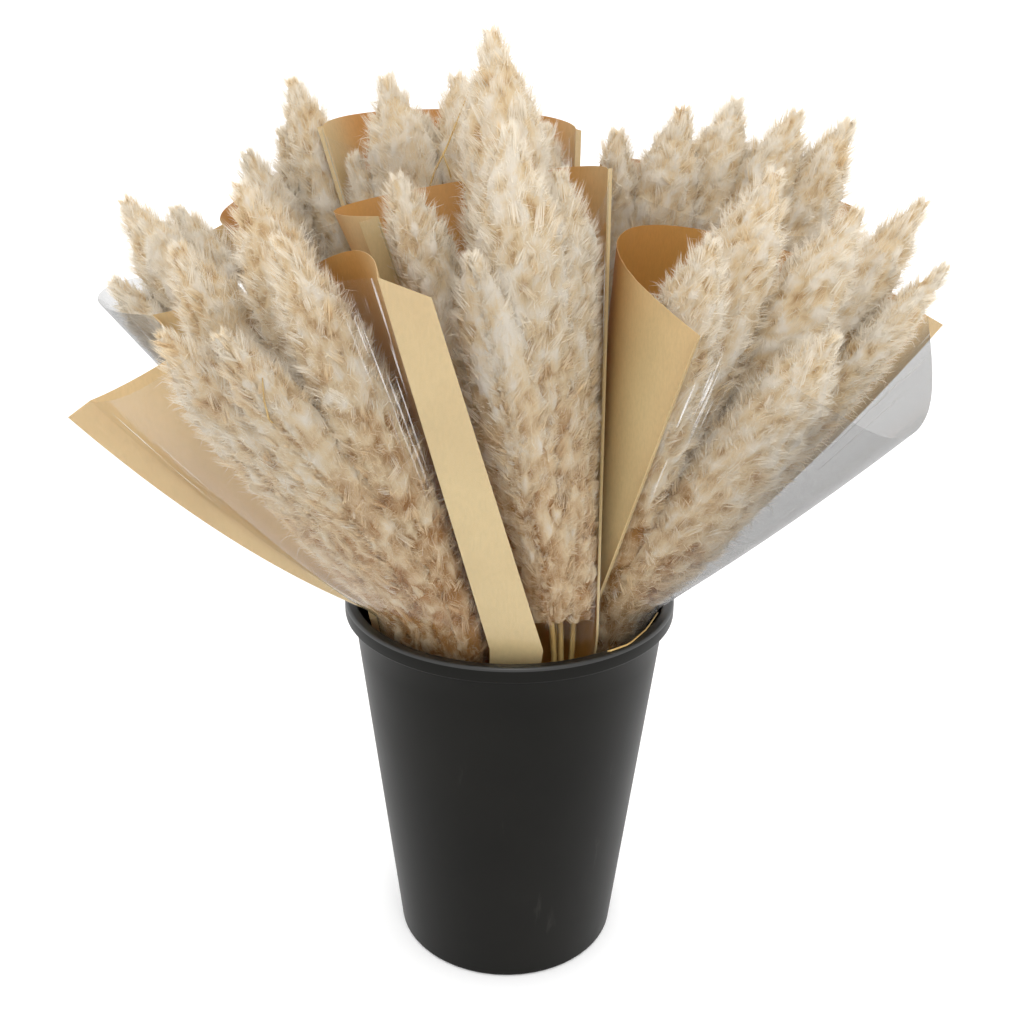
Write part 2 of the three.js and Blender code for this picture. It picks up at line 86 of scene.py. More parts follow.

# Each bunch: its foot on the bucket's floor, its seam, crease, crease and seam at the rim from left
# to right, how far its paper and its film bulge there, the sag of its free sides, and the top edge as
# seam, crease, crease, seam, with the pull of the paper's and the film's edge curve at the creases.
# Its plumes are the tip, the length of the head and the head's radius. The film's grey is how much grey is
# painted on it at its left and its right, as a painted reflection of darker surroundings, and tan how much
# browner its heads are.
BUNCHES = {
    "front_left": {
        "foot": (-26, -48),
        "rim": ((-107, -52), (-99, -56), (-14, -112), (24, -114)),
        "bulge": {"paper": 30, "film": 15},
        "painted_grey_reflection": (0.05, 0),
        "tan": 0.09,
        "sag": (14, 0),
        "top": ((-303, -85, 474), (-289, -78, 484), (-80, -172, 590), (-49, -165, 577)),
        "paper": ((70, 70, 18), (-10, 95, 40)),
        "film": ((60, -60, 10), (-70, -50, 10)),
        "plumes": (
            ((-223, -130, 547), 340, 31), ((-223, -80, 594), 350, 33), ((-173, -100, 637), 370, 33),
            ((-143, -150, 612), 350, 29), ((-179, -165, 556), 320, 29),
        ),
    },
    "front_middle": {
        "foot": (26, -50),
        "rim": ((-2, -80), (7, -82), (63, -92), (64.5, -90.5)),
        "bulge": {"paper": 36, "film": 24},
        "painted_grey_reflection": (0, 0),
        "sag": (0, 0),
        "top": ((-101, -75, 606), (-88, -80, 611), (60, -67, 641), (63, -64, 641)),
        "paper": ((-130, 75, -15), (5, 100, 0)),
        "film": ((10, -85, -40), (0, -95, -50)),
        "plumes": (
            ((-77, -80, 639), 318, 30), ((-17, -50, 728), 378, 35), ((-7, -110, 674), 342, 34),
            ((28, -80, 644), 320, 31), ((-27, -140, 601), 280, 29),
        ),
    },
    "front_right": {
        "foot": (48, -14),
        "rim": ((60, -62), (63, -59), (109, -24), (116, -18)),
        "bulge": {"paper": 54, "film": 28},
        "painted_grey_reflection": (0, 1),
        "sag": (0, 12),
        "top": ((112, -150, 549), (115, -147, 551), (302, 2, 532), (318, 10, 523)),
        "paper": ((-157, 190, 91), (-52, 38, 40)),
        "film": ((50, -70, 0), (0, -130, -135)),
        "plumes": (
            ((125, -110, 607), 330, 31), ((170, -70, 645), 370, 34), ((232, -50, 618), 370, 34),
            ((291, 0, 617), 370, 27), ((303, -30, 577), 340, 19), ((210, -110, 547), 320, 31),
        ),
    },
    "side_left": {
        "foot": (-54, 4),
        "rim": ((-104, 42), (-104, 33), (-103, -13), (-103, -22)),
        "bulge": {"paper": 34, "film": 16},
        "painted_grey_reflection": (0.6, 0.6),
        "sag": (0, 0),
        "top": ((-265, 108, 530), (-271, 96, 535), (-254, -31, 533), (-246, -40, 530)),
        "paper": ((74, 0, 10), (60, 10, 10)),
        "film": ((-62, 0, 0), (-62, 0, 0)),
        "plumes": (
            ((-284, 25, 607), 330, 31), ((-292, 2, 553), 300, 24), ((-254, 48, 598), 320, 31),
        ),
    },
    "back_left": {
        "foot": (-34, 44),
        "rim": ((-94, 62), (-86, 67), (-38, 97), (-30, 102)),
        "bulge": {"paper": 16, "film": 28},
        "painted_grey_reflection": (0.1, 0.1),
        "sag": (0, 0),
        "top": ((-228, 52, 578), (-220, 59, 582), (-152, 112, 606), (-144, 119, 602)),
        "paper": ((-25, 45, 5), (-35, 40, 5)),
        "film": ((25, -45, -15), (88, -60, -15)),
        "plumes": (
            ((-168, 85, 688), 340, 31), ((-201, 62, 638), 320, 29), ((-178, 86, 652), 310, 27),
        ),
    },
    "back_middle": {
        "foot": (6, 10),
        "rim": ((-46, 24), (-42, 24), (42, 26), (46, 26)),
        "bulge": {"paper": 36, "film": 34},
        "painted_grey_reflection": (0, 0),
        "sag": (0, 0),
        "top": ((-146, 62, 653), (-142, 62, 654), (45, 63, 654), (49, 63, 653)),
        "paper": ((0, 70, 12), (0, 70, 12)),
        "film": ((-5, -50, -20), (0, -40, -20)),
        "plumes": (
            ((-95, 60, 693), 350, 36), ((-44, 64, 694), 350, 35), ((-69, 66, 664), 330, 29),
            ((23, 66, 660), 330, 29), ((-121, 58, 637), 320, 27),
        ),
    },
    "back_right": {
        "foot": (40, 42),
        "rim": ((42, 92), (49, 86), (99, 48), (106, 42)),
        "bulge": {"paper": 16, "film": 30},
        "painted_grey_reflection": (0.1, 0.1),
        "sag": (0, 0),
        "top": ((66, 95, 628), (70, 93, 630), (260, 78, 598), (266, 78, 595)),
        "paper": ((5, 70, 0), (5, 65, 0)),
        "film": ((-25, -80, -25), (15, -75, -40)),
        "plumes": (
            ((78, 80, 655), 330, 33), ((126, 77, 672), 340, 35), ((169, 95, 678), 340, 35),
            ((212, 78, 671), 340, 35), ((251, 74, 665), 330, 30),
        ),
    },
}


# Stray stalks among the heads, as points along each, by the plume that they belong to
STALK_RADIUS = 0.9
STALKS = {
    "back_middle_2": (
        ((-71, 40, 587), (-57.5, 29, 627), (-49, 32, 643), (-42, 36, 660), (-34, 44, 680)),
        ((-43, 38, 603), (-47, 30, 626), (-52, 30, 639)),
    ),
    "front_left_5": (((-145, -140, 482), (-152, -155, 497), (-153.5, -159.5, 511), (-152, -167, 527)),),
    "front_right_6": (((64, -92, 300), (72, -104, 309), (87, -93, 309), (102, -69, 309), (113, -42, 309)),),
}


# Small vector helpers
def unit(v):
    v = np.asarray(v, float)
    return v / np.linalg.norm(v, axis=-1, keepdims=True)


def smoothstep(t):
    t = np.clip(t, 0, 1)
    return t * t * (3 - 2 * t)


def behind(chord):
    """The flat direction square to a chord, towards the paper's side."""
    return unit([-chord[1], chord[0]])


# Meshes made from arrays in millimetres
def grid_quads(index):
    """The faces of a grid of point numbers."""
    quads = np.stack([index[:-1, :-1], index[:-1, 1:], index[1:, 1:], index[1:, :-1]], -1)
    return quads.reshape(-1, 4)


def ring_grid(rings, sides):
    """The point numbers of closed rings, with the first column again at the end."""
    index = np.arange(rings * sides).reshape(rings, sides)
    return np.append(index, index[:, :1], 1)


def make_mesh(name, points, quads, triangles=(), sharp=None):
    mesh = bpy.data.meshes.new(name)
    points = np.asarray(points, np.float32) * MM
    quads = np.asarray(quads, np.int32).reshape(-1, 4)
    triangles = np.asarray(triangles, np.int32).reshape(-1, 3)
    mesh.vertices.add(len(points))
    mesh.vertices.foreach_set("co", points.ravel())
    loops = np.concatenate([quads.ravel(), triangles.ravel()])
    mesh.loops.add(len(loops))
    mesh.loops.foreach_set("vertex_index", loops)
    starts = np.append(np.arange(len(quads)) * 4, 4 * len(quads) + np.arange(len(triangles)) * 3)
    starts = starts.astype(np.int32)
    mesh.polygons.add(len(starts))
    mesh.polygons.foreach_set("loop_start", starts)
    mesh.update(calc_edges=True)
    mesh.polygons.foreach_set("use_smooth", np.full(len(starts), True))
    if sharp is not None:
        mesh.set_sharp_from_angle(angle=math.radians(sharp))
    return mesh


def mark(mesh, name, values, kind="FLOAT", field="value"):
    """Gives each point a value that the materials read."""
    attribute = mesh.attributes.new(name, kind, "POINT")
    attribute.data.foreach_set(field, np.asarray(values, np.float32).ravel())


def add_piece(mesh, material_slot, *nodes):
    """Adds a piece of the object that stands for these CAD nodes."""
    piece = bpy.data.objects.new(mesh.name, mesh)
    bpy.context.scene.collection.objects.link(piece)
    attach(piece, "root")
    if nodes:
        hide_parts(*nodes)
    return piece


# Node trees
def new_material(name):
    material = bpy.data.materials.new(name)
    material.use_nodes = True
    tree = material.node_tree
    tree.nodes.clear()
    return material, tree


def add_node(tree, kind, inputs=None, **settings):
    node = tree.nodes.new(kind)
    for key, value in settings.items():
        setattr(node, key, value)
    for key, value in (inputs or {}).items():
        if isinstance(value, bpy.types.NodeSocket):
            tree.links.new(value, node.inputs[key])
        else:
            node.inputs[key].default_value = value
    return node


def ramp(tree, value, stops):
    """A colour ramp from (place, colour) stops, given as linear RGB."""
    node = add_node(tree, "ShaderNodeValToRGB", {"Fac": value})
    elements = node.color_ramp.elements
    while len(elements) < len(stops):
        elements.new(0.5)
    for element, (place, colour) in zip(elements, stops):
        element.position = place
        element.color = (*colour, 1)
    return node.outputs["Color"]


def read_mark(tree, name, output="Fac"):
    return add_node(tree, "ShaderNodeAttribute", attribute_name=name).outputs[output]


def noise_texture(tree, vector, scale, detail=2.0, roughness=0.5):
    inputs = {"Vector": vector, "Scale": scale, "Detail": detail, "Roughness": roughness}
    return add_node(tree, "ShaderNodeTexNoise", inputs).outputs["Fac"]


def solid_noise(tree, scale, detail=2.0, roughness=0.5, stretch=(1, 1, 1)):
    """Noise that runs through the whole object."""
    place = add_node(tree, "ShaderNodeTexCoord").outputs["Object"]
    place = add_node(tree, "ShaderNodeMapping", {"Vector": place, "Scale": stretch}).outputs["Vector"]
    return noise_texture(tree, place, scale, detail, roughness)


def math_node(tree, operation, a, b=0.0, c=0.0):
    node = add_node(tree, "ShaderNodeMath", {0: a, 1: b, 2: c}, operation=operation)
    return node.outputs["Value"]


def mix_colour(tree, factor, a, b, blend="MIX"):
    a, b = ((*c, 1) if isinstance(c, tuple) else c for c in (a, b))
    inputs = {0: factor, 6: a, 7: b}
    return add_node(tree, "ShaderNodeMix", inputs, data_type="RGBA", blend_type=blend).outputs[2]


def shader(tree, kind, inputs):
    return add_node(tree, "ShaderNodeBsdf" + kind, inputs).outputs[0]


def mix_shaders(tree, factor, a, b):
    return add_node(tree, "ShaderNodeMixShader", {0: factor, 1: a, 2: b}).outputs[0]


def bumped(tree, height, strength, distance):
    inputs = {"Height": height, "Strength": strength, "Distance": distance}
    return add_node(tree, "ShaderNodeBump", inputs).outputs["Normal"]


def finish_material(tree, surface):
    add_node(tree, "ShaderNodeOutputMaterial", {"Surface": surface})


# Materials
def bucket_material(name, specular):
    material, tree = new_material(name)
    cloud = solid_noise(tree, 9.0, 3.0)
    grain = solid_noise(tree, 900.0)
    rubs = solid_noise(tree, 1.0, 4.0, 0.7, (60, 60, 9))
    rubbed = ramp(tree, rubs, [(0.66, (0, 0, 0)), (0.76, (1, 1, 1))])
    base = ramp(tree, cloud, [(0.3, (0.0045, 0.0043, 0.0034)), (0.7, (0.0072, 0.0068, 0.0054))])
    colour = mix_colour(tree, math_node(tree, "MULTIPLY", rubbed, 0.12), base, (0.09, 0.085, 0.075))
    finish_material(tree, shader(tree, "Principled", {
        "Base Color": colour,
        "Specular IOR Level": specular,
        "Roughness": math_node(tree, "MULTIPLY_ADD", cloud, 0.14, 0.33),
        "Normal": bumped(tree, grain, 0.05, 0.0003),
    }))
    return material


def paper_material():
    """Kraft paper, with painted shade: a deeper orange-brown round the pocket, where shade falls, than
    along the sealed edges.
    """
    material, tree = new_material("kraft_paper")
    cloud = solid_noise(tree, 14.0, 4.0, 0.55)
    fibre = solid_noise(tree, 620.0, 5.0, 0.7, (1, 1, 0.35))
    pocket = read_mark(tree, "pocket")
    tone = ramp(tree, cloud, [(0.3, (0.70, 0.56, 0.285)), (0.7, (0.76, 0.63, 0.33))])
    # painted shade: the pocket's colour is multiplied towards a deep orange-brown
    tone = mix_colour(tree, pocket, tone, (0.80, 0.50, 0.18), "MULTIPLY")
    speck = ramp(tree, fibre, [(0.32, (0.72, 0.72, 0.72)), (0.6, (1, 1, 1))])
    colour = mix_colour(tree, 0.35, tone, speck, "MULTIPLY")
    paper = shader(tree, "Principled", {
        "Base Color": colour,
        "Specular IOR Level": 0.9,
        "Roughness": 0.5,
        "Normal": bumped(tree, math_node(tree, "ADD", fibre, cloud), 0.12, 0.0006),
    })
    warm = mix_colour(tree, 1.0, colour, (0.95, 0.55, 0.15), "MULTIPLY")
    finish_material(tree, mix_shaders(tree, 0.36, paper, shader(tree, "Translucent", {"Color": warm})))
    return material


def film_material():
    """Clear film, with grey painted in as a reflection of darker surroundings, and white streaks painted
    near its sealed edges as highlights.
    """
    material, tree = new_material("clear_film")
    waves = solid_noise(tree, 1.0, 3.0, 0.6, (30, 30, 4))
    normal = bumped(tree, waves, 0.18, 0.003)
    painted_grey_reflection = read_mark(tree, "painted_grey_reflection")
    edge = read_mark(tree, "edge")
    across = read_mark(tree, "across", "Vector")
    lines = ramp(tree, noise_texture(tree, across, 1.0, 2.0), [(0.59, (0, 0, 0)), (0.68, (1, 1, 1))])
    # painted highlight: white diffuse streaks near the seams stand in for the film's glints
    painted_highlight_streaks = math_node(tree, "MULTIPLY", edge, lines)
    clear = shader(tree, "Transparent", {"Color": (0.985, 0.985, 0.985, 1)})
    painted_grey_veil = shader(tree, "Diffuse", {"Color": (0.16, 0.16, 0.157, 1)})
    # painted reflection: a dark grey diffuse veil mixed in where the grey mark is high
    clear = mix_shaders(tree, math_node(tree, "MULTIPLY", painted_grey_reflection, 0.4), clear, painted_grey_veil)
    painted_highlight_white = shader(tree, "Diffuse", {"Color": (0.95, 0.95, 0.95, 1)})
    clear = mix_shaders(tree, math_node(tree, "MULTIPLY", painted_highlight_streaks, 0.45), clear, painted_highlight_white)
    gloss = shader(tree, "Glossy", {"Color": (0.8, 0.8, 0.8, 1), "Roughness": 0.1, "Normal": normal})
    facing = add_node(tree, "ShaderNodeLayerWeight", {"Blend": 0.5, "Normal": normal}).outputs["Facing"]
    shine = math_node(tree, "MULTIPLY_ADD", math_node(tree, "POWER", facing, 4.0), 0.35, 0.008)
    finish_material(tree, mix_shaders(tree, shine, clear, gloss))
    return material


def fluff_material():
    material, tree = new_material("pampas_fluff")
    tone = read_mark(tree, "tone")
    strand = read_mark(tree, "strand", "Vector")
    slim = add_node(tree, "ShaderNodeMapping", {"Vector": strand, "Scale": (1, 1, 0.16)})
    wool = noise_texture(tree, slim.outputs["Vector"], 620.0, 3.0, 0.6)
    cloud = solid_noise(tree, 60.0)
    mottled = math_node(tree, "MULTIPLY_ADD", math_node(tree, "ADD", wool, cloud), 0.45, -0.45)
    colour = ramp(tree, math_node(tree, "ADD", tone, mottled), [
        (0.0, (0.47, 0.24, 0.075)),
        (0.45, (0.83, 0.68, 0.45)),
        (0.8, (0.88, 0.82, 0.715)),
    ])
    body = shader(tree, "Principled", {
        "Base Color": colour,
        "Roughness": 0.75,
        "Specular IOR Level": 0.3,
        "Normal": bumped(tree, wool, 0.7, 0.0014),
    })
    finish_material(tree, mix_shaders(tree, 0.48, body, shader(tree, "Translucent", {"Color": colour})))
    return material


def straw_material():
    material, tree = new_material("dry_straw")
    lines = solid_noise(tree, 700.0, 3.0, stretch=(1, 1, 0.05))
    cloud = solid_noise(tree, 30.0)
    tone = math_node(tree, "MULTIPLY", math_node(tree, "ADD", lines, cloud), 0.5)
    finish_material(tree, shader(tree, "Principled", {
        "Base Color": ramp(tree, tone, [(0.35, (0.34, 0.20, 0.055)), (0.65, (0.62, 0.43, 0.16))]),
        "Roughness": 0.5,
        "Normal": bumped(tree, lines, 0.3, 0.0004),
    }))
    return material


def band_material():
    material, tree = new_material("rubber_band")
    cloud = solid_noise(tree, 220.0, 3.0)
    finish_material(tree, shader(tree, "Principled", {
        "Base Color": ramp(tree, cloud, [(0.3, (0.40, 0.22, 0.075)), (0.7, (0.54, 0.33, 0.13))]),
        "Roughness": 0.66,
        "Normal": bumped(tree, cloud, 0.15, 0.0003),
    }))
    return material


def floor_material():
    material, tree = new_material("studio_floor")
    cloud = solid_noise(tree, 2.0, 3.0)
    finish_material(tree, shader(tree, "Principled", {
        "Base Color": ramp(tree, cloud, [(0.3, (0.93, 0.93, 0.93)), (0.7, (0.95, 0.95, 0.95))]),
        "Roughness": 0.8,
        "Emission Color": (1, 1, 1, 1),
        "Emission Strength": 0.12,
    }))
    return material


# Bucket: one lathed shell with a rounded foot and a rolled lip
def arc(centre, radius, start, end, steps):
    angles = np.radians(np.linspace(start, end, steps))
    return [(centre[0] + radius * math.cos(a), centre[1] + radius * math.sin(a)) for a in angles]


def bucket_profile():
    inner = WALL_TOP_RADIUS - WALL
    lip_round = 2.6
    edge_round = 1.6
    return [
        (0, 0),
        *arc((BASE_RADIUS - FOOT_ROUND, FOOT_ROUND), FOOT_ROUND, -90, 0, 7),
        (WALL_TOP_RADIUS - 2.6, WALL_TOP - 24),
        (WALL_TOP_RADIUS - 0.35, WALL_TOP - 2.2),
        (WALL_TOP_RADIUS + 0.5, WALL_TOP),
        *arc((LIP_RADIUS - edge_round, WALL_TOP + edge_round + 0.6), edge_round, -90, 0, 5),
        *arc((LIP_RADIUS - lip_round, BUCKET_HEIGHT - lip_round), lip_round, 0, 90, 8),
        *arc((inner + lip_round, BUCKET_HEIGHT - lip_round), lip_round, 90, 180, 8),
        (inner, WALL_TOP),
        (BASE_RADIUS - WALL + 0.3, FLOOR + 1.2),
        (BASE_RADIUS - WALL - 1.5, FLOOR),
        (0, FLOOR),
    ]


def make_bucket(materials):
    profile = bucket_profile()
    ring = profile[1:-1]
    angles = TAU * np.arange(BUCKET_SIDES) / BUCKET_SIDES
    points = [[r * math.cos(a), r * math.sin(a), z] for r, z in ring for a in angles]
    grid = ring_grid(len(ring), BUCKET_SIDES)
    quads = grid_quads(grid)
    bottom = np.full(BUCKET_SIDES, len(points))
    points += [[0, 0, profile[0][1]], [0, 0, profile[-1][1]]]
    triangles = np.concatenate([
        np.stack([bottom, grid[0, 1:], grid[0, :-1]], -1),
        np.stack([grid[-1, :-1], grid[-1, 1:], bottom + 1], -1),
    ])
    mesh = make_mesh("bucket_shell", points, quads, triangles, sharp=50)
    for material in materials:
        mesh.materials.append(material)
    on_lip = [points[quad[0]][2] > BUCKET_HEIGHT - LIP_SHINE for quad in quads] + [False] * len(triangles)
    mesh.polygons.foreach_set("material_index", np.array(on_lip, np.int32))
    return add_piece(mesh, "bucket", "bucket")


# Sleeves: ruled surfaces between an edge on the floor, one at the rim and the top edge
def cubic(a, b, c, d, t):
    s = 1 - t
    return s**3 * a + 3 * s * s * t * b + 3 * s * t * t * c + t**3 * d


def edge_curve(corners, pulls):
    """Seam, crease, a curve across the pocket, crease, seam."""
    seam_l, crease_l, crease_r, seam_r = (np.asarray(p, float) for p in corners)
    t = np.linspace(0, 1, POCKET_COLUMNS + 1)[:, None]
    f = (np.arange(FLANGE_COLUMNS) / FLANGE_COLUMNS)[:, None]
    pocket = cubic(crease_l, crease_l + pulls[0], crease_r + pulls[1], crease_r, t)
    left = seam_l + (crease_l - seam_l) * f
    right = seam_r + (crease_r - seam_r) * f[::-1]
    return np.concatenate([left, pocket, right])


def level_edge(corners, depth, z):
    pull = np.append(behind(corners[2] - corners[1]) * depth, 0)
    return edge_curve([np.append(p, z) for p in corners], [pull, pull])


def foot_corners(bunch):
    rim = np.asarray(bunch["rim"], float)
    along = unit(rim[3] - rim[0])
    inner = FOOT_HALF_WIDTH - FOOT_FLANGE
    reaches = (-FOOT_HALF_WIDTH, -inner, inner, FOOT_HALF_WIDTH)
    return [np.asarray(bunch["foot"], float) + along * reach for reach in reaches]


def across_pocket():
    """How far along the pocket each column is, 0 to 1, held at the two flanges."""
    t = (np.arange(POCKET_COLUMNS + 2 * FLANGE_COLUMNS + 1) - FLANGE_COLUMNS) / POCKET_COLUMNS
    return np.clip(t, 0, 1)


def lay_in_front(edge):
    """Moves the film's edge clear of the paper's, square to the flange at each end."""
    left = behind(edge[1, :2] - edge[0, :2])
    right = behind(edge[-1, :2] - edge[-2, :2])
    t = smoothstep(across_pocket())[:, None]
    shift = unit(left * (1 - t) + right * t)
    edge[:, :2] -= shift * FILM_OFFSET
    return edge


def sheet_surface(bunch, side):
    """The sheet's middle surface: points in rows from the bucket's floor to the top edge,
    and each row's height as a share, negative below the rim."""
    sign = 1 if side == "paper" else -1
    edges = [
        level_edge(foot_corners(bunch), sign * FOOT_BULGE, FOOT_Z),
        level_edge(np.asarray(bunch["rim"], float), sign * bunch["bulge"][side], RIM_Z),
        edge_curve(bunch["top"], np.asarray(bunch[side], float)),
    ]
    if side == "film":
        edges = [lay_in_front(edge) for edge in edges]
    foot_edge, rim_edge, top_edge = edges
    share = np.linspace(0, 1, ROWS_BELOW + 1)[:-1, None, None]
    below = foot_edge * (1 - share) + rim_edge * share
    v = np.linspace(0, 1, ROWS_ABOVE + 1)[:, None, None]
    above = rim_edge * (1 - v) + top_edge * v
    flange = SHEETS[side]["flange"]
    t = across_pocket()
    outer = np.arange(FLANGE_COLUMNS) / FLANGE_COLUMNS * flange
    u = flange + t * (1 - 2 * flange)
    u[:FLANGE_COLUMNS] = outer
    u[-FLANGE_COLUMNS:] = 1 - outer[::-1]
    sag = bunch["sag"][0] * (1 - u) ** 2 + bunch["sag"][1] * u**2
    above[:, :, 2] -= sag * 4 * v[:, :, 0] * (1 - v[:, :, 0])
    heights = np.concatenate([share[:, 0, 0] - 1, v[:, 0, 0]])
    return np.concatenate([below, above]), heights


def surface_normals(rows):
    up = np.gradient(rows, axis=0)
    across = np.gradient(rows, axis=1)
    return unit(np.cross(across, up))


def ripples(rng, t, v, count, reach, slant):
    """Soft folds that run up the sheet, as a sum of waves across it."""
    height = np.zeros(np.broadcast_shapes(t.shape, v.shape))
    for _ in range(count):
        waves = rng.uniform(*reach)
        phase = rng.uniform(0, TAU)
        drift = rng.uniform(-slant, slant)
        fade = rng.uniform(0.5, 1.5)
        height += np.sin(TAU * (waves * t + drift * v) + phase) * np.exp(-fade * np.abs(v - 0.5))
    return height / math.sqrt(count)


def worn_sheet(rows, heights, side, rng):
    """Adds the small folds of a used sheet, none where paper and film are sealed together."""
    t = across_pocket()[None, :]
    v = heights[:, None]
    inside = smoothstep(np.minimum(t, 1 - t) / 0.08)
    upper = smoothstep((v + 0.02) / 0.18)
    if side == "paper":
        height = 0.9 * ripples(rng, t, v, 5, (0.8, 3.5), 0.6)
        height += 0.35 * ripples(rng, t, v, 5, (4, 9), 1.2)
        height = height * inside * upper
    else:
        height = 0.8 * ripples(rng, t, v, 4, (1, 4), 0.7) * inside * upper
        gathered = np.exp(-(((v - 0.02) / 0.16) ** 2))
        height = height + 1.3 * ripples(rng, t, v, 5, (7, 13), 0.5) * gathered * inside
    return rows + surface_normals(rows) * height[:, :, None]


def sheet_mesh(name, rows, thickness):
    """A closed sheet of even thickness round the middle surface."""
    normals = surface_normals(rows)
    faces = [rows + normals * thickness / 2, rows - normals * thickness / 2]
    points = np.concatenate([f.reshape(-1, 3) for f in faces])
    count = len(points) // 2
    index = np.arange(count).reshape(rows.shape[:2])
    front = grid_quads(index)
    border = np.concatenate([index[0, :-1], index[:-1, -1], index[-1, :0:-1], index[:0:-1, 0]])
    after = np.roll(border, -1)
    rim = np.stack([border, border + count, after + count, after], -1)
    quads = np.concatenate([front, front[:, ::-1] + count, rim])
    return make_mesh(name, points, quads, sharp=60)


def mark_film(mesh, bunch, t, v, seed):
    """Marks where grey is painted on the film as a reflection, and where white highlight streaks are
    painted beside its seams.
    """
    left, right = bunch["painted_grey_reflection"]
    faded = smoothstep(1.6 * t - 0.3) * (1 - smoothstep((t - 0.96) / 0.04))
    # painted reflection: how much grey the film gets, from its left to its right
    painted_grey_reflection = left * (1 - t) + right * faded
    mark(mesh, "painted_grey_reflection", [painted_grey_reflection, painted_grey_reflection])
    # painted highlight: the band beside each seam where white streaks are painted
    seam = np.minimum(t, 1 - t)
    edge = smoothstep(seam / 0.02) * smoothstep((0.13 - seam) / 0.06) * smoothstep((v - 0.4) / 0.4)
    mark(mesh, "edge", [edge, edge])
    along = np.stack([t * PAINTED_STREAKS_ACROSS, v * PAINTED_STREAKS_ALONG, np.full_like(t, seed)], -1)
    mark(mesh, "across", [along, along], "FLOAT_VECTOR", "vector")


def mark_paper_painted_shade(mesh, bunch, t):
    """Marks the paper's pocket, inside of its sealed edges, where the paper gets painted shade."""
    pocket = smoothstep(t / (0.25 + 0.05 * bunch["sag"][0])) * smoothstep((1 - t) / 0.25)
    mark(mesh, "pocket", [pocket, pocket])


def make_sleeve(name, bunch, materials, seed):
    """One sleeve's paper and film, and the surfaces that hairs keep inside of."""
    walls = []
    for side, sheet in SHEETS.items():
        rng = np.random.default_rng(seed + len(walls))
        rows, heights = sheet_surface(bunch, side)
        rows = worn_sheet(rows, heights, side, rng)
        mesh = sheet_mesh(f"{side}_sheet_{name}", rows, sheet["thickness"])
        t, v = np.broadcast_arrays(across_pocket(), heights[:, None])
        if side == "paper":
            mark_paper_painted_shade(mesh, bunch, t)
        else:
            mark_film(mesh, bunch, t, v, seed)
        mesh.materials.append(materials[side])
        add_piece(mesh, side, f"{side}_{name}")
        walls.append(rows)
    return walls


def sheet_tree(walls):
    """All sheets as one tree for ray casts, in millimetres."""
    points, faces = [], []
    for rows in walls:
        coarse = rows[::2, ::2]
        index = np.arange(coarse.size // 3).reshape(coarse.shape[:2]) + len(points)
        points += coarse.reshape(-1, 3).tolist()
        faces += grid_quads(index).tolist()
    return BVHTree.FromPolygons(points, faces)


# Plumes: each stem's line, as in the CAD solids
def rim_middle(bunch):
    rim_l, rim_r = (np.asarray(p, float) for p in bunch["rim"][1:3])
    depth = REACH_OF_PULL * (bunch["bulge"]["paper"] - bunch["bulge"]["film"]) / 2
    return (rim_l + rim_r) / 2 + depth * behind(rim_r - rim_l)


def plume_lines(bunch):
    rim_l, rim_r = (np.asarray(p, float) for p in bunch["rim"][1:3])
    foot = np.asarray(bunch["foot"], float)
    along = unit(rim_r - rim_l)
    across = behind(along)
    tips = np.array([plume[0] for plume in bunch["plumes"]], float)
    offsets = tips[:, :2] - tips[:, :2].mean(axis=0)
    spread = np.stack([offsets @ along, offsets @ across], -1)
    spread /= np.abs(spread).max(axis=0)
    angles = np.arctan2(spread[:, 1], spread[:, 0]) % TAU
    rank = np.argsort(np.argsort(angles))
    step = TAU / len(tips)
    turns = angles - rank * step
    turn = math.atan2(np.sin(turns).sum(), np.cos(turns).sum())
    half_along = np.linalg.norm(rim_r - rim_l) / 2 * FAN_ALONG
    half_across = REACH_OF_PULL * sum(bunch["bulge"].values()) / 2 * FAN_ACROSS
    lean = (rim_middle(bunch) - foot) / (RIM_Z - FOOT_Z)
    radius = STEM_SPACING / (2 * math.sin(math.pi / len(tips)))
    lines = []
    for k, tip in enumerate(tips):
        angle = turn + rank[k] * step
        place = foot + radius * (along * math.cos(angle) + across * math.sin(angle))
        tied = place + lean * (TIE_Z - FOOT_Z)
        rim = rim_middle(bunch) + along * half_along * spread[k, 0] + across * half_across * spread[k, 1]
        stem = zip((place, tied, rim), (FOOT_Z, TIE_Z, BEND_Z))
        lines.append(bent_line(*(np.append(point, z) for point, z in stem), tip))
    return lines


def bent_line(foot, tied, bend, tip):
    """Straight up to the rim, a rounded bend there, and straight on to the tip."""
    before = bend + unit(tied - bend) * BEND_LENGTH
    after = bend + unit(tip - bend) * BEND_LENGTH
    t = np.linspace(0, 1, 13)[:, None]
    curve = (1 - t) ** 2 * before + 2 * t * (1 - t) * bend + t**2 * after
    s = np.linspace(0, 1, 25)[:, None]
    return np.concatenate([foot[None], tied[None], curve, after + (tip - after) * s[1:]])


class Axis:
    """A plume's centre line, read by distance from its foot."""

    def __init__(self, line):
        self.line = line
        steps = np.linalg.norm(np.diff(line, axis=0), axis=1)
        self.distance = np.concatenate([[0], np.cumsum(steps)])
        self.total = self.distance[-1]

    def point(self, s):
        s = np.asarray(s, float)
        return np.stack([np.interp(s, self.distance, self.line[:, k]) for k in range(3)], -1)

    def frames(self, s):
        """Tangent, side and front at distances s."""
        reach = 6.0
        s = np.clip(s, reach, self.total - reach)
        tangent = unit(self.point(s + reach) - self.point(s - reach))
        side = unit(np.cross(np.array([0.0, 1.0, 0.0]), tangent))
        return tangent, side, np.cross(tangent, side)


# A head's outer form: quickly full above its base, then tapering to a soft tip, inside its sleeve
HEAD_SKEW = 0.8
HEAD_FULLNESS = 0.36
HEAD_SWELL = 1.12
SHEET_GAP = 2.5
PROFILE_SHARES = 40
PROFILE_ANGLES = 24


def bell(share):
    return np.sin(math.pi * np.clip(share, 0, 1) ** HEAD_SKEW) ** HEAD_FULLNESS


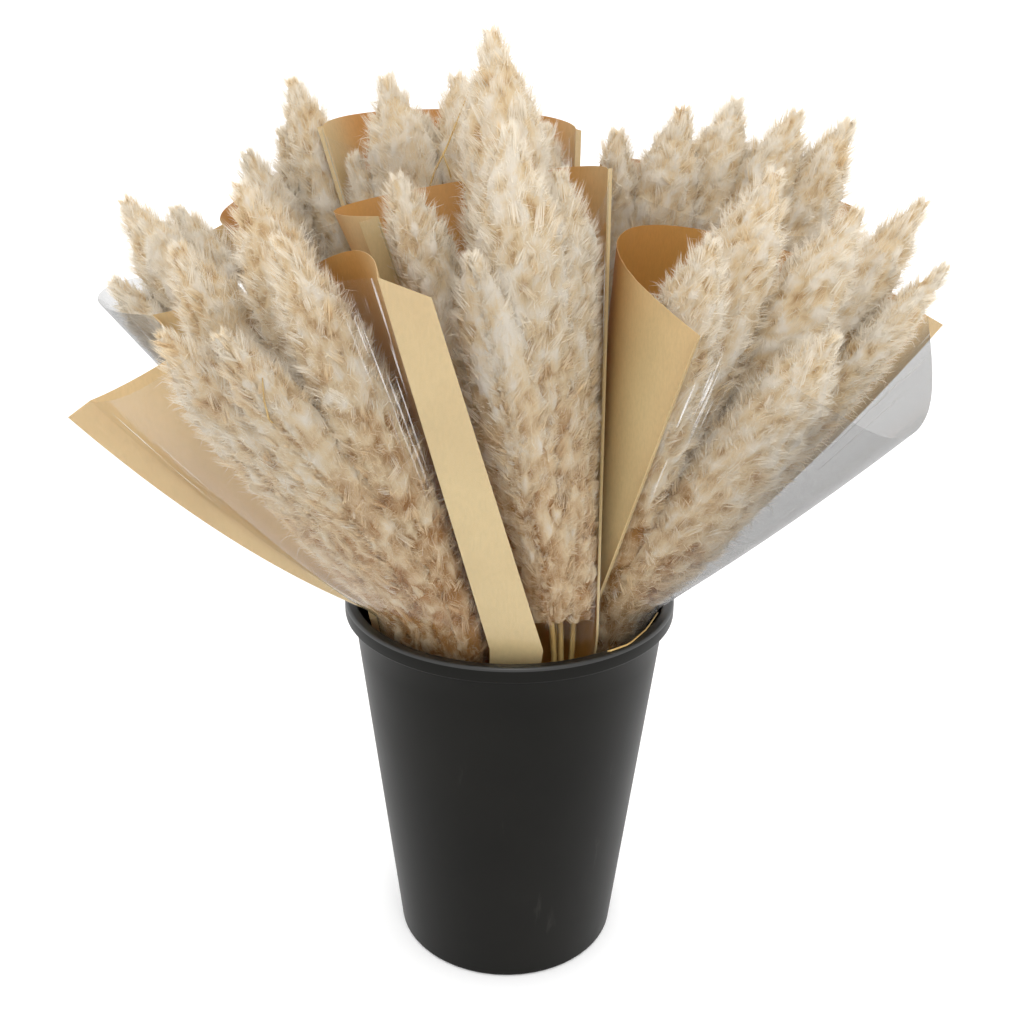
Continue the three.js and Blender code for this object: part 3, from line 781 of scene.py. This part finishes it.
def head_profile(axis, length, radius, sheets):
    """The radius of the head at even shares of its length and even angles round it."""
    shares = (np.arange(PROFILE_SHARES) + 0.5) / PROFILE_SHARES
    centres = axis.point(axis.total - length * (1 - shares))
    _, sides, fronts = axis.frames(axis.total - length * (1 - shares))
    full = np.maximum(radius * HEAD_SWELL * bell(shares), STEM_RADIUS)
    radii = np.repeat(full[:, None], PROFILE_ANGLES, axis=1)
    for i in range(PROFILE_SHARES):
        for j in range(PROFILE_ANGLES):
            a = TAU * j / PROFILE_ANGLES
            outward = Vector(sides[i] * math.cos(a) + fronts[i] * math.sin(a))
            hit = sheets.ray_cast(Vector(centres[i]), outward, radii[i, j] + SHEET_GAP)
            if hit[3] is not None:
                radii[i, j] = max(STEM_RADIUS, hit[3] - SHEET_GAP)
    around = np.minimum(radii, (np.roll(radii, 1, 1) + radii + np.roll(radii, -1, 1)) / 3)
    padded = np.pad(around, ((1, 1), (0, 0)), mode="edge")
    return np.minimum(around, (padded[:-2] + around + padded[2:]) / 3)


def read_profile(profile, share, angle):
    """The profile at any share and angle, between its samples."""
    share, angle = np.broadcast_arrays(share, angle)
    i = np.clip(share * PROFILE_SHARES - 0.5, 0, PROFILE_SHARES - 1.001)
    j = (angle / TAU * PROFILE_ANGLES) % PROFILE_ANGLES
    i0 = i.astype(int)
    j0 = j.astype(int) % PROFILE_ANGLES
    j1 = (j0 + 1) % PROFILE_ANGLES
    fi, fj = i - i0, j - np.floor(j)
    low = profile[i0, j0] * (1 - fj) + profile[i0, j1] * fj
    high = profile[i0 + 1, j0] * (1 - fj) + profile[i0 + 1, j1] * fj
    return low * (1 - fi) + high * fi


class Builder:
    """Gathers points, faces, tones, strand coordinates and material numbers of one mesh."""

    def __init__(self):
        self.points, self.tones, self.strands = [], [], []
        self.quads, self.triangles = [], []
        self.quad_slots, self.triangle_slots = [], []
        self.count = 0

    def add(self, points, tones, quads, triangles, slot, strands):
        quads = np.asarray(quads, np.int64).reshape(-1, 4)
        triangles = np.asarray(triangles, np.int64).reshape(-1, 3)
        self.points.append(np.asarray(points, float).reshape(-1, 3))
        self.tones.append(np.broadcast_to(np.asarray(tones, float).ravel(), len(self.points[-1])))
        self.strands.append(np.broadcast_to(strands, self.points[-1].shape))
        self.quads.append(quads + self.count)
        self.triangles.append(triangles + self.count)
        self.quad_slots.append(np.full(len(quads), slot))
        self.triangle_slots.append(np.full(len(triangles), slot))
        self.count += len(self.points[-1])

    def mesh(self, name, materials):
        gathered = (self.points, self.quads, self.triangles)
        mesh = make_mesh(name, *(np.concatenate(part) for part in gathered))
        for material in materials:
            mesh.materials.append(material)
        slots = np.concatenate(self.quad_slots + self.triangle_slots).astype(np.int32)
        mesh.polygons.foreach_set("material_index", slots)
        mark(mesh, "tone", np.concatenate(self.tones))
        mark(mesh, "strand", np.concatenate(self.strands), "FLOAT_VECTOR", "vector")
        return mesh


FLUFF_SLOT = 0
STRAW_SLOT = 1


def add_tube(builder, centres, radii, sides, tone, slot, frames=None, strands=None):
    """A closed tube along centres, with a radius for each ring or each point of a ring."""
    rings = len(centres)
    if frames is None:
        tangent = unit(np.gradient(centres, axis=0))
        side = unit(np.cross(np.array([0.0, 1.0, 0.0]), tangent))
        front = np.cross(tangent, side)
    else:
        _, side, front = frames
    radii = np.broadcast_to(np.asarray(radii, float).reshape(rings, -1), (rings, sides))
    points = centres[:, None] + ring_ways(side, front, sides) * radii[:, :, None]
    grid = ring_grid(rings, sides)
    start = np.full(sides, rings * sides)
    first = np.stack([start, grid[0, 1:], grid[0, :-1]], -1)
    last = np.stack([start + 1, grid[-1, :-1], grid[-1, 1:]], -1)
    points = np.concatenate([points.reshape(-1, 3), centres[:1], centres[-1:]])
    if np.ndim(tone):
        tone = np.concatenate([np.asarray(tone).ravel(), [np.mean(tone)] * 2])
    if strands is None:
        strands = np.zeros((rings, sides, 3))
    strands = np.concatenate([strands.reshape(-1, 3), strands[0, :1], strands[-1, :1]])
    builder.add(points, tone, grid_quads(grid), np.concatenate([first, last]), slot, strands)


# Fluff: a woolly core with soft lumps, tufts of hairs that lie up and out of it, fine fuzz and curls
CORE_SHARE = 0.82
CORE_TAPER = 0.62
CORE_SIDES = 36
CORE_RINGS = 84
LUMP_ACROSS = 7
LUMP_ALONG = 15
LUMP_HEIGHT = 5.5
LUMP_SLANT = 0.7
GOLDEN_ANGLE = TAU * 0.381966
TUFTS = 320
TUFT_HAIRS = 32
TUFT_SPREAD = 3.6
FUZZ = 10500
CURLS = 900
HAIR_WIDTH = 0.56
BURIED = 0.55
CLEAR_OF_SHEETS = 16
TIP_REACH = 2


def core_share(share):
    """The core's share of the head's radius, less towards the head's tip."""
    return CORE_SHARE * (1 - CORE_TAPER * smoothstep((share - 0.84) / 0.16))


def browner_base_and_shade(share):
    """Heads are browner towards their base, inside of the sleeve: partly their own colour, partly painted
    shade where the sleeve closes round them.
    """
    return 0.42 * smoothstep((share - 0.1) / 0.75) - 0.3


def ring_ways(side, front, count):
    """Outward directions at even angles round each ring."""
    angles = TAU * np.arange(count) / count
    return (side[:, None] * np.cos(angles)[None, :, None]
            + front[:, None] * np.sin(angles)[None, :, None])


class Core:
    """A head's woolly body: its surface points and normals in rings, and how high its lumps are."""

    def __init__(self, axis, length, profile, seed, sheets, others, tan):
        shares = np.linspace(0.004, 0.985, CORE_RINGS)
        s = axis.total - length * (1 - shares)
        self.centres = axis.point(s)
        self.frames = axis.frames(s)
        self.tangent, side, front = self.frames
        angles = TAU * np.arange(CORE_SIDES) / CORE_SIDES
        radii = core_share(shares)[:, None] * read_profile(profile, shares[:, None], angles[None, :])
        slanted = s[:, None] - LUMP_SLANT * radii
        local = np.stack([radii * np.cos(angles), radii * np.sin(angles), slanted], -1)
        places = local / [LUMP_ACROSS, LUMP_ACROSS, LUMP_ALONG] + [seed, 0, 0]
        lumps = [
            0.9 * noise.noise(Vector(p)) + 0.5 * noise.noise(Vector(p * 2.4))
            for p in places.reshape(-1, 3)
        ]
        self.lumps = np.array(lumps).reshape(radii.shape)
        self.strands = local * MM
        # Painted shade: darker in the hollows between lumps, and through the base tone darker towards the
        # head's base inside the sleeve.
        self.tones = self.lumps * 0.55 + browner_base_and_shade(shares)[:, None] - tan
        radii = radii + LUMP_HEIGHT * self.lumps * np.clip(radii / 15, 0, 1)
        self.radii = np.maximum(radii, STEM_RADIUS * 0.6)
        outward = ring_ways(side, front, CORE_SIDES)
        self.points = self.centres[:, None] + outward * self.radii[:, :, None]
        round_it = np.roll(self.points, -1, 1) - np.roll(self.points, 1, 1)
        normals = unit(np.cross(round_it, np.gradient(self.points, axis=0)))
        self.normals = unit(normals + outward * 0.6)
        places = self.points.reshape(-1, 3)
        self.hidden = buried(places, others).reshape(self.radii.shape)
        way = (self.normals + self.tangent[:, None]).reshape(-1, 3)
        near = [sheets.ray_cast(Vector(p), Vector(w), CLEAR_OF_SHEETS)[3] is not None
                for p, w in zip(places, way)]
        self.near = np.array(near).reshape(self.radii.shape)

    def scatter(self, rng, count):
        """Random places on what shows of the surface: points, normals, tangents, tones, radii,
        and whether a sheet is near."""
        weight = self.radii.mean(axis=1)[:-1] + 7
        ring = rng.choice(CORE_RINGS - 1, count, p=weight / weight.sum())
        around = rng.integers(0, CORE_SIDES, count)
        shown = ~self.hidden[ring, around]
        ring, around = ring[shown], around[shown]
        up, turn = rng.uniform(0, 1, (2, len(ring), 1))

        def blend(grid):
            grid = grid.reshape(CORE_RINGS, CORE_SIDES, -1)
            after = (around + 1) % CORE_SIDES
            low = grid[ring, around] * (1 - turn) + grid[ring, after] * turn
            high = grid[ring + 1, around] * (1 - turn) + grid[ring + 1, after] * turn
            return low * (1 - up) + high * up

        tone, radius = blend(self.tones)[:, 0], blend(self.radii)[:, 0]
        near = self.near[ring, around]
        return blend(self.points), unit(blend(self.normals)), self.tangent[ring], tone, radius, near


def tuft_places(rng, profile, count):
    """Even places over the head's surface, on a golden-angle spiral."""
    fine = np.linspace(0, 1, 200)
    girth = read_profile(profile, fine[:, None], np.arange(0, TAU, 0.5)[None, :]).mean(axis=1)
    cumulative = np.cumsum(girth + 4)
    cumulative = (cumulative - cumulative[0]) / (cumulative[-1] - cumulative[0])
    even = (np.arange(count) + 0.5) / count
    share = np.interp(even, cumulative, fine) + rng.normal(0, 0.008, count)
    angle = (np.arange(count) * GOLDEN_ANGLE + rng.normal(0, 0.2, count)) % TAU
    return np.clip(share, 0.0, 0.985), angle


def close_by(plume, other):
    """Whether two heads reach each other."""
    lines = [axis.point(axis.total - length * np.linspace(0, 1, 16)) for axis, length, _ in (plume, other)]
    apart = np.linalg.norm(lines[0][:, None] - lines[1][None], axis=2).min()
    return apart < (plume[2] + other[2]) * HEAD_SWELL


def buried(points, others):
    """Which points lie deep inside of a neighbouring head, where nothing shows."""
    inside = np.zeros(len(points), bool)
    for axis, length, radius in others:
        shares = np.linspace(0.1, 0.97, 30)
        centres = axis.point(axis.total - length * (1 - shares))
        near = np.linalg.norm(points[:, None] - centres[None], axis=2)
        inside |= (near < BURIED * radius * bell(shares)).any(axis=1)
    return inside


def clear_share(start, way, sheets, gap, near=True):
    """For each way from a start, the share of it that stays inside of the sleeve."""
    reach = np.linalg.norm(way, axis=1)
    share = np.ones(len(start))
    for k in np.flatnonzero((reach > 0.05) & near):
        hit = sheets.ray_cast(Vector(start[k]), Vector(way[k]), reach[k] + gap)
        if hit[3] is not None:
            share[k] = max(0.05, (hit[3] - gap) / reach[k])
    return np.minimum(share, 1)


def add_tufts(builder, rng, axis, length, profile, sheets, others, tan):
    """Soft tufts that lie up and out of the core, each of hairs that close in on its tip."""
    share, angle = tuft_places(rng, profile, TUFTS)
    s = axis.total - length * (1 - share)
    centre = axis.point(s)
    tangent, side, front = axis.frames(s)
    outward = side * np.cos(angle)[:, None] + front * np.sin(angle)[:, None]
    around = np.cross(tangent, outward)
    radius = read_profile(profile, share, angle)
    rooted = radius * core_share(share)
    tilt = rng.normal(0.62, 0.14, TUFTS) * (1 - 0.6 * smoothstep((share - 0.8) / 0.2))
    heading = unit(
        outward * np.sin(tilt)[:, None]
        + tangent * np.cos(tilt)[:, None]
        + around * rng.normal(0, 0.3, TUFTS)[:, None]
    )
    root = centre + outward * (rooted * rng.uniform(0.9, 1.05, TUFTS))[:, None]
    reach = np.clip(0.16 * radius / np.sin(tilt) + 6, 7, 14) * rng.uniform(0.75, 1.2, TUFTS)
    room = (axis.total + TIP_REACH - s) / np.cos(tilt)
    reach = np.minimum(reach, np.maximum(room * rng.uniform(0.5, 1, TUFTS), 5))
    shown = ~buried(root + heading * (reach * 0.7)[:, None], others)
    root, heading, outward = root[shown], heading[shown], outward[shown]
    reach, radius, share = reach[shown], radius[shown], share[shown]

    shape = (len(root), TUFT_HAIRS, 1)
    wide = TUFT_SPREAD * np.clip(radius / 16, 0.4, 1)[:, None, None]
    aside = unit(rng.normal(0, 1, (*shape[:2], 3))) * wide * rng.uniform(0.2, 1, shape) ** 0.5
    way = (heading * reach[:, None])[:, None]
    start = root[:, None] + aside - way * rng.uniform(0.1, 0.4, shape)
    end = root[:, None] + way * rng.uniform(0.6, 1.1, shape) + aside * rng.uniform(0.3, 1.15, shape)
    start, way = start.reshape(-1, 3), (end - start).reshape(-1, 3)
    end = start + way * clear_share(start, way, sheets, 0.7)[:, None]
    normal = unit(aside / wide * 0.5 + outward[:, None]).reshape(-1, 3)
    tones = np.repeat(browner_base_and_shade(share) - tan + rng.normal(0.08, 0.13, len(root)), TUFT_HAIRS)
    tones += rng.normal(0, 0.04, len(tones))
    add_ribbons(builder, rng, np.stack([start, end], 1), normal, tones, HAIR_WIDTH)


def add_fuzz(builder, rng, core, sheets):
    """Short fine hairs, one slim triangle each, all over the core."""
    start, normal, tangent, tone, radius, near = core.scatter(rng, FUZZ)
    direction = unit(normal * 0.7 + tangent * 0.8 + rng.normal(0, 0.55, start.shape))
    size = rng.uniform(5, 11, len(start)) * np.clip(radius / 10, 0.6, 1)
    start = start - normal * 0.8
    kept = clear_share(start, direction * size[:, None], sheets, 0.7, near)
    end = start + direction * (size * kept)[:, None]
    tones = 0.08 + tone + rng.normal(0, 0.05, len(size))
    add_ribbons(builder, rng, np.stack([start, end], 1), normal, tones, HAIR_WIDTH)


def add_curls(builder, rng, core, sheets):
    """Longer curved hairs here and there, which stand out at the edges."""
    start, normal, tangent, tone, radius, near = core.scatter(rng, CURLS)
    direction = unit(normal * 0.8 + tangent * 0.7 + rng.normal(0, 0.35, start.shape))
    size = rng.uniform(8, 15, len(start)) * np.clip(radius / 14, 0.5, 1)
    bend = unit(np.cross(direction, rng.normal(0, 1, direction.shape)))
    bend *= (size * rng.uniform(0.2, 0.7, len(size)))[:, None]
    kept = clear_share(start, direction * size[:, None] + bend, sheets, 0.7, near)[:, None]
    direction, bend = direction * size[:, None] * kept, bend * kept
    lines = np.stack([start, start + direction * 0.6, start + direction + bend], 1)
    add_ribbons(builder, rng, lines, normal, 0.16 + tone, HAIR_WIDTH * 0.8)


def add_ribbons(builder, rng, line, outward, tone_shift, width):
    """Flat tapering strands along the lines, turned roughly to face outward."""
    count, steps = line.shape[:2]
    along = unit(np.gradient(line, axis=1))
    facing = outward + rng.normal(0, 0.7, (count, 3))
    across = unit(np.cross(along, facing[:, None]))
    t = np.linspace(0, 1, steps)
    half = width / 2 * (1 - t**1.6) * rng.uniform(0.7, 1.25, count)[:, None]
    left = line - across * half[:, :, None]
    right = line + across * half[:, :, None]
    pairs = np.stack([left[:, :-1], right[:, :-1]], 2).reshape(count, -1, 3)
    points = np.concatenate([pairs, line[:, -1:]], 1)
    per = points.shape[1]
    tones = 0.46 + 0.3 * t[None, :] + tone_shift[:, None]
    tones = np.concatenate([np.repeat(tones[:, :-1], 2, axis=1), tones[:, -1:]], 1)
    base = np.arange(count)[:, None] * per
    quads = [base + np.array([2 * k, 2 * k + 1, 2 * k + 3, 2 * k + 2]) for k in range(steps - 2)]
    last = 2 * (steps - 2)
    triangles = base + np.array([last, last + 1, last + 2])
    strands = np.repeat(rng.uniform(0, 1, (count, 3)), per, axis=0)
    builder.add(points, np.clip(tones, 0, 1), np.concatenate(quads) if quads else (), triangles,
                FLUFF_SLOT, strands)


STRAW_TONE = 0.5
KNOT_SPACING = 96
KNOT_WIDTH = 3
KNOT_SWELL = 0.12


def add_stem(builder, axis, length):
    """A stem with low knots, up into its head."""
    s = np.linspace(0, axis.total - length * 0.6, 22)
    knots = 1 + KNOT_SWELL * np.exp(-(((s % KNOT_SPACING) - KNOT_SPACING / 2) / KNOT_WIDTH) ** 2)
    add_tube(builder, axis.point(s), STEM_RADIUS * 0.92 * knots, 8, STRAW_TONE, STRAW_SLOT)


def add_stalk(builder, points):
    """A thin dry stalk along a bent line."""
    line = np.asarray(points, float)
    fine = np.linspace(0, len(line) - 1, 16)
    centres = np.stack([np.interp(fine, np.arange(len(line)), line[:, k]) for k in range(3)], -1)
    radii = np.linspace(STALK_RADIUS, STALK_RADIUS / 2, len(fine))
    add_tube(builder, centres, radii, 6, STRAW_TONE, STRAW_SLOT)


def make_plume(name, index, plumes, sheets, materials, seed, tan):
    axis, length, radius = plumes[index]
    profile = head_profile(axis, length, radius, sheets)
    rng = np.random.default_rng(seed)
    builder = Builder()
    others = [other for k, other in enumerate(plumes) if k != index and close_by(other, plumes[index])]
    add_stem(builder, axis, length)
    for points in STALKS.get(name, ()):
        add_stalk(builder, points)
    core = Core(axis, length, profile, seed, sheets, others, tan)
    add_tube(builder, core.centres, core.radii, CORE_SIDES, 0.48 + core.tones, FLUFF_SLOT,
             core.frames, core.strands)
    add_tufts(builder, rng, axis, length, profile, sheets, others, tan)
    add_fuzz(builder, rng, core, sheets)
    add_curls(builder, rng, core, sheets)
    mesh = builder.mesh(f"fluffy_{name}", [materials["fluff"], materials["straw"]])
    return add_piece(mesh, "plume", f"plume_{name}")


# Stage, light and camera
FLOOR_REACH = 3e4


def make_floor(material):
    corners = [(FLOOR_REACH * x, FLOOR_REACH * y, 0) for x, y in ((-1, -1), (1, -1), (1, 1), (-1, 1))]
    mesh = make_mesh("floor", corners, [(0, 1, 2, 3)])
    mesh.materials.append(material)
    floor = bpy.data.objects.new("floor", mesh)
    floor.location.z = -0.0004
    bpy.context.scene.collection.objects.link(floor)


def make_light(name, place, target, size, power):
    light = bpy.data.lights.new(name, "AREA")
    light.shape = "DISK"
    light.size = size
    light.energy = power
    lamp = bpy.data.objects.new(name, light)
    lamp.location = place
    lamp.rotation_euler = (Vector(target) - Vector(place)).to_track_quat("-Z", "Y").to_euler()
    bpy.context.scene.collection.objects.link(lamp)


def light_scene():
    world = bpy.data.worlds.new("studio")
    world.use_nodes = True
    background = world.node_tree.nodes["Background"]
    background.inputs["Color"].default_value = (1, 1, 1, 1)
    background.inputs["Strength"].default_value = 1.32
    bpy.context.scene.world = world
    target = (0, 0, 0.42)
    make_light("key", (0.1, -1.3, 2.1), target, 0.8, 10)
    make_light("top", (0.7, 0.4, 2.4), target, 1.2, 4)


# The photograph's camera: its place in metres, and its turns in radians
CAMERA_PLACE = (-0.0029, -0.90685, 0.73974)
CAMERA_PITCH = 0.38349
CAMERA_YAW = 0.00442
CAMERA_ROLL = 0.01301
FOCAL_PIXELS = 1261.7
IMAGE_SIDE = 1024
SENSOR_WIDTH = 36


def make_camera():
    data = bpy.data.cameras.new("camera")
    data.sensor_width = SENSOR_WIDTH
    data.lens = FOCAL_PIXELS / IMAGE_SIDE * SENSOR_WIDTH
    data.clip_start = 0.01
    data.clip_end = 200
    camera = bpy.data.objects.new("camera", data)
    turns = (CAMERA_PITCH, CAMERA_YAW, CAMERA_ROLL)
    (cos_p, sin_p), (cos_y, sin_y), (cos_r, sin_r) = ((math.cos(a), math.sin(a)) for a in turns)
    forward = np.array([sin_y * cos_p, cos_y * cos_p, -sin_p])
    level = np.array([cos_y, -sin_y, 0])
    upright = np.cross(level, forward)
    right = cos_r * level + sin_r * upright
    up = -sin_r * level + cos_r * upright
    turn = Matrix([list(row) for row in np.stack([right, up, -forward], 1)])
    camera.matrix_world = Matrix.Translation(CAMERA_PLACE) @ turn.to_4x4()
    bpy.context.scene.collection.objects.link(camera)
    bpy.context.scene.camera = camera


def build():
    scene = bpy.context.scene
    scene.view_settings.view_transform = "Standard"
    scene.cycles.max_bounces = 5
    scene.cycles.diffuse_bounces = 3
    scene.cycles.glossy_bounces = 2
    scene.cycles.transmission_bounces = 4
    scene.cycles.transparent_max_bounces = 20
    make_camera()
    light_scene()
    make_floor(floor_material())
    sheets = {"paper": paper_material(), "film": film_material()}
    plume = {"fluff": fluff_material(), "straw": straw_material()}
    band = band_material()
    make_bucket([bucket_material("bucket_plastic", 0.1), bucket_material("bucket_lip", 0.6)])
    walls = []
    for k, (name, bunch) in enumerate(BUNCHES.items()):
        walls += make_sleeve(name, bunch, sheets, 11 + 10 * k)
        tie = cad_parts[f"tie_{name}"]
        tie.data.materials.clear()
        tie.data.materials.append(band)
    tree = sheet_tree(walls)
    names, plumes = [], []
    for name, bunch in BUNCHES.items():
        for k, line in enumerate(plume_lines(bunch)):
            _, length, radius = bunch["plumes"][k]
            names.append(f"{name}_{k + 1}")
            plumes.append((Axis(line), length, radius))
    for k, name in enumerate(names):
        make_plume(name, k, plumes, tree, plume, 501 + k, BUNCHES[name[:-2]].get("tan", 0))


build()
